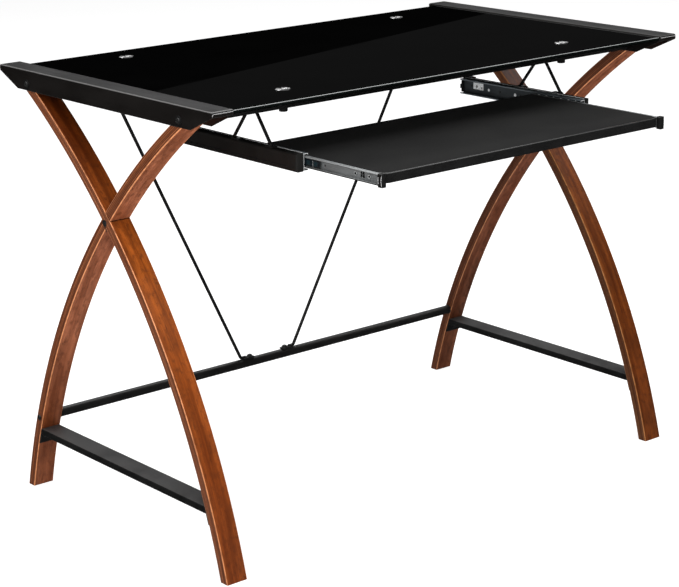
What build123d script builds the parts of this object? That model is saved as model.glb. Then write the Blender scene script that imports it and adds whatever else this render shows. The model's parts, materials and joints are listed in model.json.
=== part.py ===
# Computer desk with crossed bentwood legs, a glass top and a pull-out keyboard tray.
# Millimetres, +X to the user's right, +Y to the back, +Z up. The tray is modelled pulled out.
# Y is drawn from the middle of the desk's top; each part is then moved back by FRAME_Y, so that
# the origin lies on the floor under the middle of the whole part with its tray out.

import os
from math import sqrt

from build123d import *

os.makedirs("parts", exist_ok=True)

# Overall
WIDTH = 1016.0  # over the end rails
DEPTH = 600.0  # length of the end rails
HEIGHT = 756.0  # floor to the top of the end rails

# End rails
RAIL_W = 40.5
RAIL_H = 34.0
NOSE_H = 9.0  # upright part of each rail end, above the undercut
UNDERCUT = 55.0  # how far the undercut runs along the rail's bottom
RAIL_WALL = 1.2
RAIL_X0 = WIDTH / 2 - RAIL_W  # inner face of a rail
RAIL_Z0 = HEIGHT - RAIL_H

# Glass
GLASS_T = 5.5
GLASS_TOP = 754.0
GLASS_Y0, GLASS_Y1 = -299.5, 277.0
GLASS_Z0 = GLASS_TOP - GLASS_T

# Frame under the glass
BEAM_Y = 216.0  # centre line of the front and rear beams
BEAM_W = 20.0
BEAM_Z0 = 725.0
WALL = 1.6
DISC_X = 308.0
DISC_R = 12.5
BAR_W = 18.0
BAR_Z0 = 726.0
BOLT_Z = 732.0

# Legs: each is a slice of a ring, bent in the YZ plane
LEG_W = 39.5
LEG_T = 17.8
LEG_R = 1262.0
LEG_CY, LEG_CZ = 928.2, -302.5  # centre of the front leg's bend
LEG_X0 = WIDTH / 2 - RAIL_WALL - 0.1 - LEG_W  # inner face of a leg
LEG_X1 = LEG_X0 + LEG_W
LEG_XC = LEG_X0 + LEG_W / 2
LEG_TOP = HEIGHT - RAIL_WALL  # the legs reach the underside of the rail's top wall
SHOULDER_X = RAIL_X0 + RAIL_WALL + 0.15  # the legs' tops are cut back to here to stand in the rails
BOLT_HOLE_R = 3.1
PIN_R = 4.0  # pins at the crossings
NUT_Y, NUT_Z, NUT_R, NUT_DEPTH = 3.0, 534.0, 5.4, 4.5  # cross nut on the seam below the crossing

# Stretchers and brace
SIDE_TOP, SIDE_H, SIDE_T = 118.0, 11.5, 1.6
SIDE_X0, SIDE_X1 = LEG_X0 + 2.0, LEG_X1 - 0.6
TAB_Z = 89.0
TAB_BOLT_Z = SIDE_TOP - 18.0
TAB_LEAN = (0.946, 0.324)  # along Y and Z, square to a stretcher's tab
TUBE_R, TUBE_Y, TUBE_Z = 8.5, 244.8, 139.0
ROD_R = 3.0
BRACE_FOOT, BRACE_BEND, BRACE_TOP = 42.0, 63.0, 352.0

# Keyboard tray
TRAY_X = 302.0  # half the board's width
TRAY_Y0, TRAY_Y1 = -449.0, -149.0
TRAY_Z0, TRAY_T = 640.4, 16.0
EDGE, WRAP = 4.0, 16.0  # front edge strip, and how far it runs round the corners
CORNER_R = 12.0
MID_Z = 646.9  # centre height of the slides
RUNNER_X0, RUNNER_X1 = TRAY_X + 10.5, TRAY_X + 23.5
RUNNER_Z0, RUNNER_Z1 = 632.0, 661.8
RUNNER_Y0, RUNNER_Y1 = -268.0, 36.0
OUTER_Y0, OUTER_Y1 = RUNNER_Y0 - 1.2, RUNNER_Y1 - 1.0
CAGE_Y0, CAGE_Y1 = -303.0, -157.0
INNER_Y0, INNER_Y1 = -443.0, -145.0
SLIDE_SCREWS = (-240.0, -101.0, -11.0)
TRAY_SCREWS = (-415.0, -383.0, -200.0)
FOOT_X0, FOOT_X1 = TRAY_X + 12, TRAY_X + 23  # feet and straps on top of the tray rails
FOOT_SCREW_X = TRAY_X + 17
HANGER_X = TRAY_X + 20
BAR_X = TRAY_X + 21  # centre line of the hanger bars
WIRE_R = 2.8
HANGER_FRONT, HANGER_REAR = -202.0, -103.0

NOSE_Y = INNER_Y0 - 9.5  # front of the end blocks
FRAME_Y = -(NOSE_Y + DEPTH / 2) / 2

SIDES = (("left", -1), ("right", 1))


def leg_y(z, radius, sign=1):
    """Y of the front leg's ring at height z; sign -1 gives the rear leg."""
    return sign * (LEG_CY - sqrt(radius**2 - (z - LEG_CZ) ** 2))


def along(x, y, z, axis):
    """A plane at a point whose normal is the axis."""
    ref = (1, 0, 0) if abs(axis[0]) < 0.9 else (0, 1, 0)
    return Plane(origin=(x, y, z), x_dir=ref, z_dir=axis)


def box(x0, x1, y0, y1, z0, z1, mode=Mode.ADD):
    """A box by its limits, added to the part being built."""
    with Locations(((x0 + x1) / 2, (y0 + y1) / 2, (z0 + z1) / 2)):
        Box(abs(x1 - x0), abs(y1 - y0), abs(z1 - z0), mode=mode)


def rod(plane, radius, low, high, mode=Mode.ADD):
    """A cylinder on the plane's normal, from low to high along it."""
    with BuildSketch(plane.offset(low)) as disc:
        Circle(radius)
    extrude(disc.sketch, amount=high - low, mode=mode)


def button(plane, head_r, head_h, shank_r, length, socket=2.2):
    """A button-head socket screw: the head stands on the plane and the shank goes below it."""
    flat = Plane(origin=plane.origin, x_dir=plane.x_dir, z_dir=plane.x_dir.cross(plane.z_dir))
    with BuildSketch(flat) as dome:
        with BuildLine():
            Polyline((head_r, 0), (0, 0), (0, head_h), (head_r * 0.55, head_h))
            ThreePointArc((head_r * 0.55, head_h), (head_r * 0.88, head_h * 0.72), (head_r, 0))
        make_face()
    revolve(dome.sketch, axis=Axis(plane.origin, plane.z_dir))
    rod(plane, shank_r, -length, 0)
    with BuildSketch(plane.offset(head_h)) as hexagon:
        RegularPolygon(socket, 6)
    extrude(hexagon.sketch, amount=-head_h * 0.6, mode=Mode.SUBTRACT)


def export(part, name):
    part = part.moved(Location((0, FRAME_Y, 0)))
    part.label = name
    export_step(part, f"parts/{name}.step")


# Glass panel, with a through hole for each disc
with BuildPart() as glass_top:
    box(-RAIL_X0 + 0.6, RAIL_X0 - 0.6, GLASS_Y0, GLASS_Y1, GLASS_Z0, GLASS_TOP)
    fillet(glass_top.edges().filter_by(Axis.Z), 3)
    chamfer(glass_top.edges().group_by(Axis.Z)[-1], 1.0)
    chamfer(glass_top.edges().group_by(Axis.Z)[0], 0.6)
    for x in (-DISC_X, DISC_X):
        for y in (-BEAM_Y, BEAM_Y):
            rod(Plane.XY.offset(GLASS_Z0).move(Location((x, y, 0))), DISC_R + 0.2, -1, 8, Mode.SUBTRACT)
export(glass_top.part, "glass_top")

# Glass discs: a cap in each hole with a star recess in the top
with BuildPart() as glass_discs:
    for x in (-DISC_X, DISC_X):
        for y in (-BEAM_Y, BEAM_Y):
            base = Plane.XY.offset(GLASS_Z0).move(Location((x, y, 0)))
            rod(base, DISC_R, 0, GLASS_T + 0.5)
            rod(base, 3.2, 0, 4.4, Mode.SUBTRACT)
            with BuildSketch(base.offset(GLASS_T + 0.5)):
                SlotOverall(17, 4.5)
                SlotOverall(17, 4.5, rotation=90)
            extrude(amount=-0.8, mode=Mode.SUBTRACT)
    chamfer(glass_discs.edges().filter_by(GeomType.CIRCLE).group_by(Axis.Z)[-1]
            .filter_by(lambda e: e.radius > 10), 0.4)
export(glass_discs.part, "glass_discs")

# Knob screws from under the beams up into the discs
with BuildPart() as disc_screws:
    for x in (-DISC_X, DISC_X):
        for y in (-BEAM_Y, BEAM_Y):
            base = Plane.XY.offset(BEAM_Z0).move(Location((x, y, 0)))
            rod(base, 7.0, -6.0, 0)
            rod(base, 2.9, 0, GLASS_Z0 - BEAM_Z0 + 4.0)
    fillet(disc_screws.edges().group_by(Axis.Z)[0], 1.6)
export(disc_screws.part, "disc_screws")

# Where the centre lines of a front and a rear leg cross, and the front leg's direction there
CROSS_Z = LEG_CZ + sqrt((LEG_R - LEG_T / 2) ** 2 - LEG_CY**2)
CROSS_LEAN = ((CROSS_Z - LEG_CZ) / (LEG_R - LEG_T / 2), LEG_CY / (LEG_R - LEG_T / 2))


def cross_pins(s, radius, mode):
    """Pins that run down the rear leg through the front leg at the crossing."""
    for dx in (-9.5, 9.5):
        axis = (0, -CROSS_LEAN[0], CROSS_LEAN[1])
        rod(along(s * LEG_XC + dx, 0, CROSS_Z, axis), radius, -32, 32, mode)


def shoulder(s):
    """Cut the inner face of a leg's top back, so that it fits inside the end rail."""
    box(s * (LEG_X0 - 1), s * SHOULDER_X, -DEPTH / 2, DEPTH / 2, RAIL_Z0 - 0.2, HEIGHT, Mode.SUBTRACT)


def nut_recess(s):
    """Cut the blind hole for the cross nut into the outer face of a leg piece."""
    rod(along(s * LEG_X1, NUT_Y, NUT_Z, (s, 0, 0)), NUT_R + 0.1, -NUT_DEPTH - 0.1, 1, Mode.SUBTRACT)


# End rails: inverted channels with closed, undercut ends; the tops of the legs stand inside them
for side, s in SIDES:
    with BuildPart() as end_rail:
        half = DEPTH / 2
        with BuildSketch(Plane.YZ.offset(s * WIDTH / 2)) as outline:
            with BuildLine():
                Polyline((-half, HEIGHT), (half, HEIGHT), (half, HEIGHT - NOSE_H),
                         (half - UNDERCUT, RAIL_Z0), (-half + UNDERCUT, RAIL_Z0),
                         (-half, HEIGHT - NOSE_H), close=True)
            make_face()
        extrude(outline.sketch, amount=-s * RAIL_W)
        fillet(end_rail.edges().filter_by(lambda e: e.center().Z > HEIGHT - NOSE_H + 1), 1.8)
        box(s * (RAIL_X0 + RAIL_WALL), s * (WIDTH / 2 - RAIL_WALL), -half + RAIL_WALL, half - RAIL_WALL,
            RAIL_Z0 - 1, HEIGHT - RAIL_WALL, Mode.SUBTRACT)
        for y in (-BEAM_Y, BEAM_Y):
            rod(along(s * WIDTH / 2, y, BOLT_Z, (s, 0, 0)), 3.2, -RAIL_W - 1, 1, Mode.SUBTRACT)
    export(end_rail.part, f"{side}_end_rail")

# Beams along X under the glass, with holes for the disc screws and the brace bolts
for name, y, braced in (("front", -BEAM_Y, False), ("rear", BEAM_Y, True)):
    with BuildPart() as cross_beam:
        box(-RAIL_X0, RAIL_X0, y - BEAM_W / 2, y + BEAM_W / 2, BEAM_Z0, GLASS_Z0)
        fillet(cross_beam.edges().filter_by(Axis.X), 2)
        box(-RAIL_X0, RAIL_X0, y - BEAM_W / 2 + WALL, y + BEAM_W / 2 - WALL,
            BEAM_Z0 + WALL, GLASS_Z0 - WALL, Mode.SUBTRACT)
        for x in (-DISC_X, DISC_X):
            rod(Plane.XY.offset(BEAM_Z0).move(Location((x, y, 0))), 3.1, -1, 30, Mode.SUBTRACT)
            if braced:
                bolt_x = (BRACE_TOP + 20) * x / DISC_X
                rod(Plane.XY.offset(BEAM_Z0).move(Location((bolt_x, y, 0))), 2.7, -1, 5, Mode.SUBTRACT)
    export(cross_beam.part, f"{name}_cross_beam")

# Threaded plugs in the ends of the beams
with BuildPart() as beam_plugs:
    for s in (-1, 1):
        for y in (-BEAM_Y, BEAM_Y):
            inner = BEAM_W / 2 - WALL
            box(s * (RAIL_X0 - 16), s * RAIL_X0, y - inner, y + inner, BEAM_Z0 + WALL, GLASS_Z0 - WALL)
            rod(along(s * RAIL_X0, y, BOLT_Z, (s, 0, 0)), 3.0, -17, 1, Mode.SUBTRACT)
export(beam_plugs.part, "beam_plugs")

# Bolts through the end rails and the tops of the legs into the plugs
for side, s in SIDES:
    with BuildPart() as rail_bolts:
        for y in (-BEAM_Y, BEAM_Y):
            button(along(s * WIDTH / 2, y, BOLT_Z, (s, 0, 0)), 5.0, 2.8, 2.95, RAIL_W + 13)
    export(rail_bolts.part, f"{side}_rail_bolts")

# Hanger bars between the beams
for side, s in SIDES:
    with BuildPart() as hanger_bar:
        end = BEAM_Y - BEAM_W / 2
        x0, x1 = s * (BAR_X - BAR_W / 2), s * (BAR_X + BAR_W / 2)
        box(x0, x1, -end, end, BAR_Z0, BAR_Z0 + 18)
        box(x0 + s * WALL, x1 - s * WALL, -end, end, BAR_Z0 + WALL, BAR_Z0 + 18 - WALL, Mode.SUBTRACT)
    export(hanger_bar.part, f"{side}_hanger_bar")

# Front legs: one lamination from the floor to the rear of the rail
for side, s in SIDES:
    with BuildPart() as front_leg:
        with BuildSketch(Plane.YZ.offset(s * LEG_X1)):
            with Locations((LEG_CY, LEG_CZ)):
                Circle(LEG_R)
                Circle(LEG_R - LEG_T, mode=Mode.SUBTRACT)
            with Locations((0, LEG_TOP / 2)):
                Rectangle(640, LEG_TOP, mode=Mode.INTERSECT)
        extrude(amount=-s * LEG_W)
        chamfer(front_leg.edges().filter_by(GeomType.CIRCLE), 1.0)
        shoulder(s)
        rod(along(s * LEG_X1, BEAM_Y, BOLT_Z, (s, 0, 0)), BOLT_HOLE_R, -LEG_W - 1, 1, Mode.SUBTRACT)
        cross_pins(s, PIN_R, Mode.SUBTRACT)
        nut_recess(s)
        tab_y = leg_y(TAB_BOLT_Z, LEG_R - LEG_T)
        rod(along(s * LEG_XC, tab_y, TAB_BOLT_Z, (0, TAB_LEAN[0], -TAB_LEAN[1])), 2.6, -9, 2, Mode.SUBTRACT)
    export(front_leg.part, f"{side}_front_leg")

# Rear legs: an upper and a lower piece that butt against the front leg
for side, s in SIDES:
    for level in ("lower", "upper"):
        with BuildPart() as rear_leg:
            with BuildSketch(Plane.YZ.offset(s * LEG_X1)):
                with Locations((-LEG_CY, LEG_CZ)):
                    Circle(LEG_R)
                    Circle(LEG_R - LEG_T, mode=Mode.SUBTRACT)
                with Locations((0, LEG_TOP / 2)):
                    Rectangle(640, LEG_TOP, mode=Mode.INTERSECT)
            extrude(amount=-s * LEG_W)
            chamfer(rear_leg.edges().filter_by(GeomType.CIRCLE), 1.0)
            if level == "upper":
                shoulder(s)
            with BuildSketch(Plane.YZ.offset(s * (LEG_X1 + 1))):
                with Locations((LEG_CY, LEG_CZ)):
                    Circle(LEG_R + (0 if level == "upper" else 400))
                    if level == "lower":
                        Circle(LEG_R - LEG_T, mode=Mode.SUBTRACT)
            extrude(amount=-s * (LEG_W + 2), mode=Mode.SUBTRACT)
            cross_pins(s, PIN_R, Mode.SUBTRACT)
            bolt_y, bolt_z = (TUBE_Y, TUBE_Z) if level == "lower" else (-BEAM_Y, BOLT_Z)
            rod(along(s * LEG_X1, bolt_y, bolt_z, (s, 0, 0)), BOLT_HOLE_R, -LEG_W - 1, 1, Mode.SUBTRACT)
            if level == "lower":
                nut_recess(s)
                tab_y = -leg_y(TAB_BOLT_Z, LEG_R - LEG_T)
                rod(along(s * LEG_XC, tab_y, TAB_BOLT_Z, (0, -TAB_LEAN[0], -TAB_LEAN[1])), 2.6, -9, 2,
                    Mode.SUBTRACT)
        export(rear_leg.part, f"{side}_rear_leg_{level}")

# Steel pins at the crossings, and the cross nuts
for side, s in SIDES:
    with BuildPart() as leg_pins:
        cross_pins(s, PIN_R, Mode.ADD)
    export(leg_pins.part, f"{side}_leg_pins")

    with BuildPart() as crossing_nut:
        face = along(s * LEG_X1, NUT_Y, NUT_Z, (s, 0, 0))
        rod(face, NUT_R, -NUT_DEPTH, 0.6)
        with BuildSketch(face.offset(0.6)):
            Rectangle(7, 1.6)
        extrude(amount=-1.2, mode=Mode.SUBTRACT)
    export(crossing_nut.part, f"{side}_crossing_nut")

# Side stretchers: inverted channels whose end tabs lie against the legs
for side, s in SIDES:
    with BuildPart() as side_stretcher:
        end = -leg_y(SIDE_TOP, LEG_R - LEG_T) - 0.1
        low = -leg_y(TAB_Z, LEG_R - LEG_T) - 0.1
        x0, x1 = s * SIDE_X0, s * SIDE_X1
        box(x0, x1, -end, end, SIDE_TOP - SIDE_H, SIDE_TOP)
        fillet(side_stretcher.edges().filter_by(Axis.Y).group_by(Axis.Z)[-1], 1.4)
        box(x0 + s * SIDE_T, x1 - s * SIDE_T, -end, end, SIDE_TOP - SIDE_H, SIDE_TOP - SIDE_T, Mode.SUBTRACT)
        with BuildSketch(Plane.YZ.offset(x0)):
            for t in (-1, 1):
                with BuildLine():
                    Polyline((t * end, SIDE_TOP), (t * (end - 2.2), SIDE_TOP),
                             (t * (low - 2.2), TAB_Z), (t * low, TAB_Z), close=True)
                make_face()
        extrude(amount=x1 - x0)
        for t in (-1, 1):
            tab_y = -t * leg_y(TAB_BOLT_Z, LEG_R - LEG_T)
            rod(along(s * LEG_XC, tab_y, TAB_BOLT_Z, (0, t * TAB_LEAN[0], TAB_LEAN[1])), 2.8, -8, 8,
                Mode.SUBTRACT)
    export(side_stretcher.part, f"{side}_side_stretcher")

    with BuildPart() as stretcher_bolts:
        for t in (-1, 1):
            tab_y = -t * leg_y(TAB_BOLT_Z, LEG_R - LEG_T)
            face = along(s * LEG_XC, tab_y, TAB_BOLT_Z, (0, -t * TAB_LEAN[0], -TAB_LEAN[1])).offset(2.3)
            button(face, 5.0, 2.6, 2.5, 8)
    export(stretcher_bolts.part, f"{side}_stretcher_bolts")

# Rear stretcher tube, its plugs and the bolts through the legs
with BuildPart() as rear_stretcher:
    line = along(0, TUBE_Y, TUBE_Z, (1, 0, 0))
    rod(line, TUBE_R, -LEG_X0, LEG_X0)
    rod(line, TUBE_R - WALL, -LEG_X0, LEG_X0, Mode.SUBTRACT)
    for x in (-BRACE_FOOT, BRACE_FOOT):
        rod(along(x, TUBE_Y, TUBE_Z, (0, 0, 1)), 2.7, 0, 10, Mode.SUBTRACT)
export(rear_stretcher.part, "rear_stretcher")

with BuildPart() as stretcher_plugs:
    for s in (-1, 1):
        face = along(s * LEG_X0, TUBE_Y, TUBE_Z, (s, 0, 0))
        rod(face, TUBE_R - WALL, -18, 0)
        rod(face, 3.0, -19, 1, Mode.SUBTRACT)
export(stretcher_plugs.part, "stretcher_plugs")

with BuildPart() as rear_bolts:
    for s in (-1, 1):
        button(along(s * LEG_X1, TUBE_Y, TUBE_Z, (s, 0, 0)), 5.0, 2.8, 2.95, LEG_W + 15)
export(rear_bolts.part, "rear_stretcher_bolts")

# Brace rods: flattened foot on the stretcher, flattened top under the rear beam
FOOT_Z = TUBE_Z + TUBE_R
for side, s in SIDES:
    with BuildPart() as brace_rod:
        low_y, high_z = TUBE_Y, BEAM_Z0 - ROD_R
        with BuildLine() as path:
            FilletPolyline((s * 52, low_y, FOOT_Z + ROD_R), (s * BRACE_BEND, low_y, FOOT_Z + ROD_R),
                           (s * BRACE_TOP, BEAM_Y, high_z),
                           (s * (BRACE_TOP + 9), BEAM_Y, high_z), radius=6)
        with BuildSketch(along(s * 52, low_y, FOOT_Z + ROD_R, (s, 0, 0))):
            Circle(ROD_R)
        sweep()
        box(s * 34, s * 58, low_y - 5, low_y + 5, FOOT_Z, FOOT_Z + 2.6)
        box(s * (BRACE_TOP + 4), s * (BRACE_TOP + 28), BEAM_Y - 6, BEAM_Y + 6, BEAM_Z0 - 2.6, BEAM_Z0)
        rod(along(s * BRACE_FOOT, low_y, FOOT_Z, (0, 0, 1)), 2.8, -1, 8, Mode.SUBTRACT)
        rod(along(s * (BRACE_TOP + 20), BEAM_Y, BEAM_Z0, (0, 0, 1)), 2.8, -8, 1, Mode.SUBTRACT)
    export(brace_rod.part, f"{side}_brace_rod")

with BuildPart() as brace_bolts:
    for s in (-1, 1):
        button(along(s * BRACE_FOOT, TUBE_Y, FOOT_Z + 2.6, (0, 0, 1)), 5.0, 4.2, 2.5, 8)
        button(along(s * (BRACE_TOP + 20), BEAM_Y, BEAM_Z0 - 2.6, (0, 0, -1)), 4.6, 3.4, 2.5, 8)
export(brace_bolts.part, "brace_bolts")

# Tray rails: mouldings with a shallow panel in the outer face
for side, s in SIDES:
    with BuildPart() as tray_rail:
        box(s * RUNNER_X0, s * RUNNER_X1, RUNNER_Y0, RUNNER_Y1, RUNNER_Z0, RUNNER_Z1)
        rear_low = tray_rail.edges().filter_by(Axis.X).group_by(Axis.Y)[-1].sort_by(Axis.Z)[0]
        fillet(rear_low, 5)
        outer = tray_rail.faces().filter_by(Axis.X).sort_by(Axis.X)[-1 if s > 0 else 0]
        fillet(outer.edges(), 3.0)
        with BuildSketch(Plane.YZ.offset(s * RUNNER_X1)):
            with Locations(((RUNNER_Y0 + RUNNER_Y1) / 2, (RUNNER_Z0 + RUNNER_Z1) / 2)):
                RectangleRounded(RUNNER_Y1 - RUNNER_Y0 - 40, 18.5, 6)
        extrude(amount=-s * 0.9, mode=Mode.SUBTRACT)
        for y in SLIDE_SCREWS:
            rod(along(s * RUNNER_X0, y, MID_Z, (s, 0, 0)), 1.9, -1, 10, Mode.SUBTRACT)
        for y in (HANGER_FRONT + 9, HANGER_REAR - 9, 22):
            rod(along(s * FOOT_SCREW_X, y, RUNNER_Z1, (0, 0, 1)), 1.7, -12, 1, Mode.SUBTRACT)
    export(tray_rail.part, f"{side}_tray_rail")

# Wire hangers: an inverted V with a foot at each end and a plate at the apex
for side, s in SIDES:
    with BuildPart() as wire_hanger:
        x = s * HANGER_X
        z0, z1 = RUNNER_Z1 + 1.2, BAR_Z0 - 2.0 - WIRE_R
        with BuildLine() as path:
            FilletPolyline((x, HANGER_FRONT, z0), (x, -159.0, z1), (x, -149.0, z1),
                           (x, HANGER_REAR, z0), radius=4)
        start = path.line @ 0
        aim = path.line % 0
        with BuildSketch(Plane(origin=start, x_dir=(1, 0, 0), z_dir=aim)):
            Circle(WIRE_R)
        sweep()
        box(x - 3, x + 3, -220, -80, RUNNER_Z1 - 6, RUNNER_Z1, Mode.SUBTRACT)
        box(s * FOOT_X0, s * FOOT_X1, HANGER_FRONT - 5, HANGER_FRONT + 16, RUNNER_Z1, RUNNER_Z1 + 1.5)
        box(s * FOOT_X0, s * FOOT_X1, HANGER_REAR - 16, HANGER_REAR + 5, RUNNER_Z1, RUNNER_Z1 + 1.5)
        box(s * (BAR_X - 8), s * (BAR_X + 8), -176, -131, BAR_Z0 - 2.2, BAR_Z0)
        for y in (HANGER_FRONT + 9, HANGER_REAR - 9):
            rod(along(s * FOOT_SCREW_X, y, RUNNER_Z1, (0, 0, 1)), 1.9, -1, 3, Mode.SUBTRACT)
    export(wire_hanger.part, f"{side}_wire_hanger")

# Rear straps from the tray rails to the hanger bars
for side, s in SIDES:
    with BuildPart() as rear_strap:
        x0, x1 = s * FOOT_X0, s * (FOOT_X0 + 10)
        box(x0, x1, 32.2, 34.2, RUNNER_Z1, BAR_Z0)
        box(x0, x1, 14, 34.2, RUNNER_Z1, RUNNER_Z1 + 2)
        box(x0, x1, 14, 34.2, BAR_Z0 - 2, BAR_Z0)
        rod(along(s * FOOT_SCREW_X, 22, RUNNER_Z1, (0, 0, 1)), 1.9, -1, 3, Mode.SUBTRACT)
    export(rear_strap.part, f"{side}_rear_strap")

    with BuildPart() as hanger_screws:
        for y, t in ((HANGER_FRONT + 9, 1.5), (HANGER_REAR - 9, 1.5), (22, 2.0)):
            button(along(s * FOOT_SCREW_X, y, RUNNER_Z1 + t, (0, 0, 1)), 3.2, 1.8, 1.6, 12, 1.4)
    export(hanger_screws.part, f"{side}_hanger_screws")


def profile(s, rects):
    """Rectangles (x0, x1, z0, z1) of a slide section, x from the board's side and z from the
    slide's middle height, drawn above and below it."""
    for x0, x1, z0, z1 in rects:
        for t in (-1, 1):
            with Locations((s * (TRAY_X + (x0 + x1) / 2), MID_Z + t * (z0 + z1) / 2)):
                Rectangle(x1 - x0, z1 - z0)


OUTER = ((9.3, 10.5, 0, 13.65), (1.7, 10.5, 12.45, 13.65), (1.7, 2.7, 11.5, 13.0))
INNER = ((0, 1.2, 0, 8.75), (0, 3.0, 7.65, 8.75), (1.8, 3.0, 6.9, 8.2),
         (1.8, 7.6, 6.9, 8.0), (6.4, 7.6, 6.9, 8.75))
CAGE = ((5.0, 5.7, 0, 5.9), (5.0, 8.9, 5.2, 5.9), (8.2, 8.9, 5.2, 11.65), (3.2, 8.9, 10.95, 11.65))
TONGUE = 36.0  # the front of a ball cage is its web only
BALL_X, BALL_Z, BALL_R = TRAY_X + 4.7, 10.2, 2.1
BALLS_Y = [CAGE_Y0 + 48 + k * 18 for k in range(6)]
OUTER_WEB = TRAY_X + 9.3  # inner face of the outer member's web


def section(s, rects, y0, y1):
    """Extrude a slide section from y0 to y1. Plane.XZ faces -Y."""
    with BuildSketch(Plane.XZ.offset(-y0)) as cut:
        profile(s, rects)
    extrude(cut.sketch, amount=-(y1 - y0))


for side, s in SIDES:
    with BuildPart() as slide_outer:
        section(s, OUTER, OUTER_Y0, OUTER_Y1)
        box(s * (TRAY_X + 1.7), s * (TRAY_X + 10.5), OUTER_Y1 - 1.2, OUTER_Y1, MID_Z - 4, MID_Z + 4)
        for y in SLIDE_SCREWS:
            rod(along(s * OUTER_WEB, y, MID_Z, (s, 0, 0)), 1.9, -1, 3, Mode.SUBTRACT)
        for y in (-113, -62, -215):
            rod(along(s * OUTER_WEB, y, MID_Z, (s, 0, 0)), 2.4, -1, 3, Mode.SUBTRACT)
    export(slide_outer.part, f"{side}_slide_outer")

    with BuildPart() as slide_screws:
        for y in SLIDE_SCREWS:
            head = along(s * OUTER_WEB, y, MID_Z, (-s, 0, 0))
            rod(head, 3.2, 0, 0.45)
            rod(head, 1.8, -10, 0)
    export(slide_screws.part, f"{side}_slide_screws")

    with BuildPart() as ball_cage:
        section(s, CAGE, CAGE_Y0, CAGE_Y1)
        for t in (-1, 1):
            box(s * TRAY_X, s * OUTER_WEB, CAGE_Y0 - 1, CAGE_Y0 + TONGUE, MID_Z + t * 5.1, MID_Z + t * 20,
                Mode.SUBTRACT)
        box(s * (TRAY_X + 4), s * (TRAY_X + 6), CAGE_Y0 + 40, CAGE_Y1 - 12, MID_Z - 3.5, MID_Z + 3.5,
            Mode.SUBTRACT)
        for y in BALLS_Y:
            for t in (-1, 1):
                rod(along(s * BALL_X, y, MID_Z, (0, 0, t)), BALL_R + 0.15, 9, 20, Mode.SUBTRACT)
    export(ball_cage.part, f"{side}_ball_cage")

    with BuildPart() as balls:
        for y in BALLS_Y:
            for t in (-1, 1):
                with Locations((s * BALL_X, y, MID_Z + t * BALL_Z)):
                    Sphere(BALL_R)
    export(balls.part, f"{side}_balls")

    with BuildPart() as slide_inner:
        section(s, INNER, INNER_Y0, INNER_Y1)
        for y in TRAY_SCREWS:
            rod(along(s * TRAY_X, y, MID_Z, (s, 0, 0)), 1.9, -1, 3, Mode.SUBTRACT)
        box(s * (TRAY_X - 1), s * (TRAY_X + 1.3), -403.8, -394.0, MID_Z - 4.8, MID_Z + 4.8, Mode.SUBTRACT)
        rod(along(s * TRAY_X, -310, MID_Z, (s, 0, 0)), 2.4, -1, 3, Mode.SUBTRACT)
    export(slide_inner.part, f"{side}_slide_inner")

    with BuildPart() as end_clip:
        x0, x1 = s * TRAY_X, s * (TRAY_X + 9.4)
        y0, y1 = INNER_Y0 - 8, INNER_Y0
        z0, z1 = MID_Z - 11.0, MID_Z + 10.4
        box(x0, x1, y0, y1, z0, z1)
        fillet(end_clip.edges().filter_by(Axis.Y), 1.5)
        box(x0 + s * 1.2, x1 - s * 1.2, y0, y1, z0 + 1.2, z1 - 1.2, Mode.SUBTRACT)
    export(end_clip.part, f"{side}_end_clip")

    with BuildPart() as end_block:
        x0 = s * (TRAY_X + 1.2)
        box(x0, s * (TRAY_X + 8.2), NOSE_Y, INNER_Y0, MID_Z - 9.8, MID_Z + 9.2)
        fillet(end_block.edges().filter_by(Axis.Z).group_by(Axis.Y)[0], 2.8)
        box(x0, s * (TRAY_X + 8.2), INNER_Y0, INNER_Y0 + 2.5, MID_Z - 6.9, MID_Z + 6.9)
    export(end_block.part, f"{side}_end_block")


def front_end(side_gap, y0, y1, corner):
    """The tray's front end as a block from y0 to y1, with rounded corners at y0."""
    with BuildSketch(Plane.XY.offset(TRAY_Z0)) as outline:
        with Locations((0, (y0 + y1) / 2)):
            Rectangle(2 * (TRAY_X - side_gap), y1 - y0)
        fillet(outline.vertices().group_by(Axis.Y)[0], corner)
    return outline.sketch


# Tray board, its front edge strip and the screws through the inner slides
with BuildPart() as tray_board:
    box(-TRAY_X, TRAY_X, TRAY_Y0 + WRAP, TRAY_Y1, TRAY_Z0, TRAY_Z0 + TRAY_T)
    fillet(tray_board.edges().filter_by(Axis.Z).group_by(Axis.Y)[-1], 2)
    extrude(front_end(3, TRAY_Y0 + EDGE, TRAY_Y0 + WRAP, CORNER_R - 3), amount=TRAY_T)
    box(-TRAY_X + 20, TRAY_X - 20, TRAY_Y0, TRAY_Y0 + EDGE + 8, TRAY_Z0 + 7, TRAY_Z0 + 9, Mode.SUBTRACT)
    for s in (-1, 1):
        for y in TRAY_SCREWS:
            rod(along(s * TRAY_X, y, MID_Z, (s, 0, 0)), 1.8, -16, 1, Mode.SUBTRACT)
export(tray_board.part, "tray_board")

with BuildPart() as tray_edge:
    extrude(front_end(0, TRAY_Y0, TRAY_Y0 + WRAP, CORNER_R), amount=TRAY_T)
    fillet(tray_edge.edges().filter_by(lambda e: abs(e.center().Z - TRAY_Z0 - TRAY_T / 2) > TRAY_T / 2 - 0.1
                                       and e.center().Y < TRAY_Y0 + WRAP - 0.1), 2.4)
    extrude(front_end(3, TRAY_Y0 + EDGE, TRAY_Y0 + WRAP + 1, CORNER_R - 3), amount=TRAY_T,
            mode=Mode.SUBTRACT)
    box(-TRAY_X + 20, TRAY_X - 20, TRAY_Y0 + EDGE, TRAY_Y0 + EDGE + 7.5, TRAY_Z0 + 7.2, TRAY_Z0 + 8.8)
export(tray_edge.part, "tray_edge")

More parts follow.
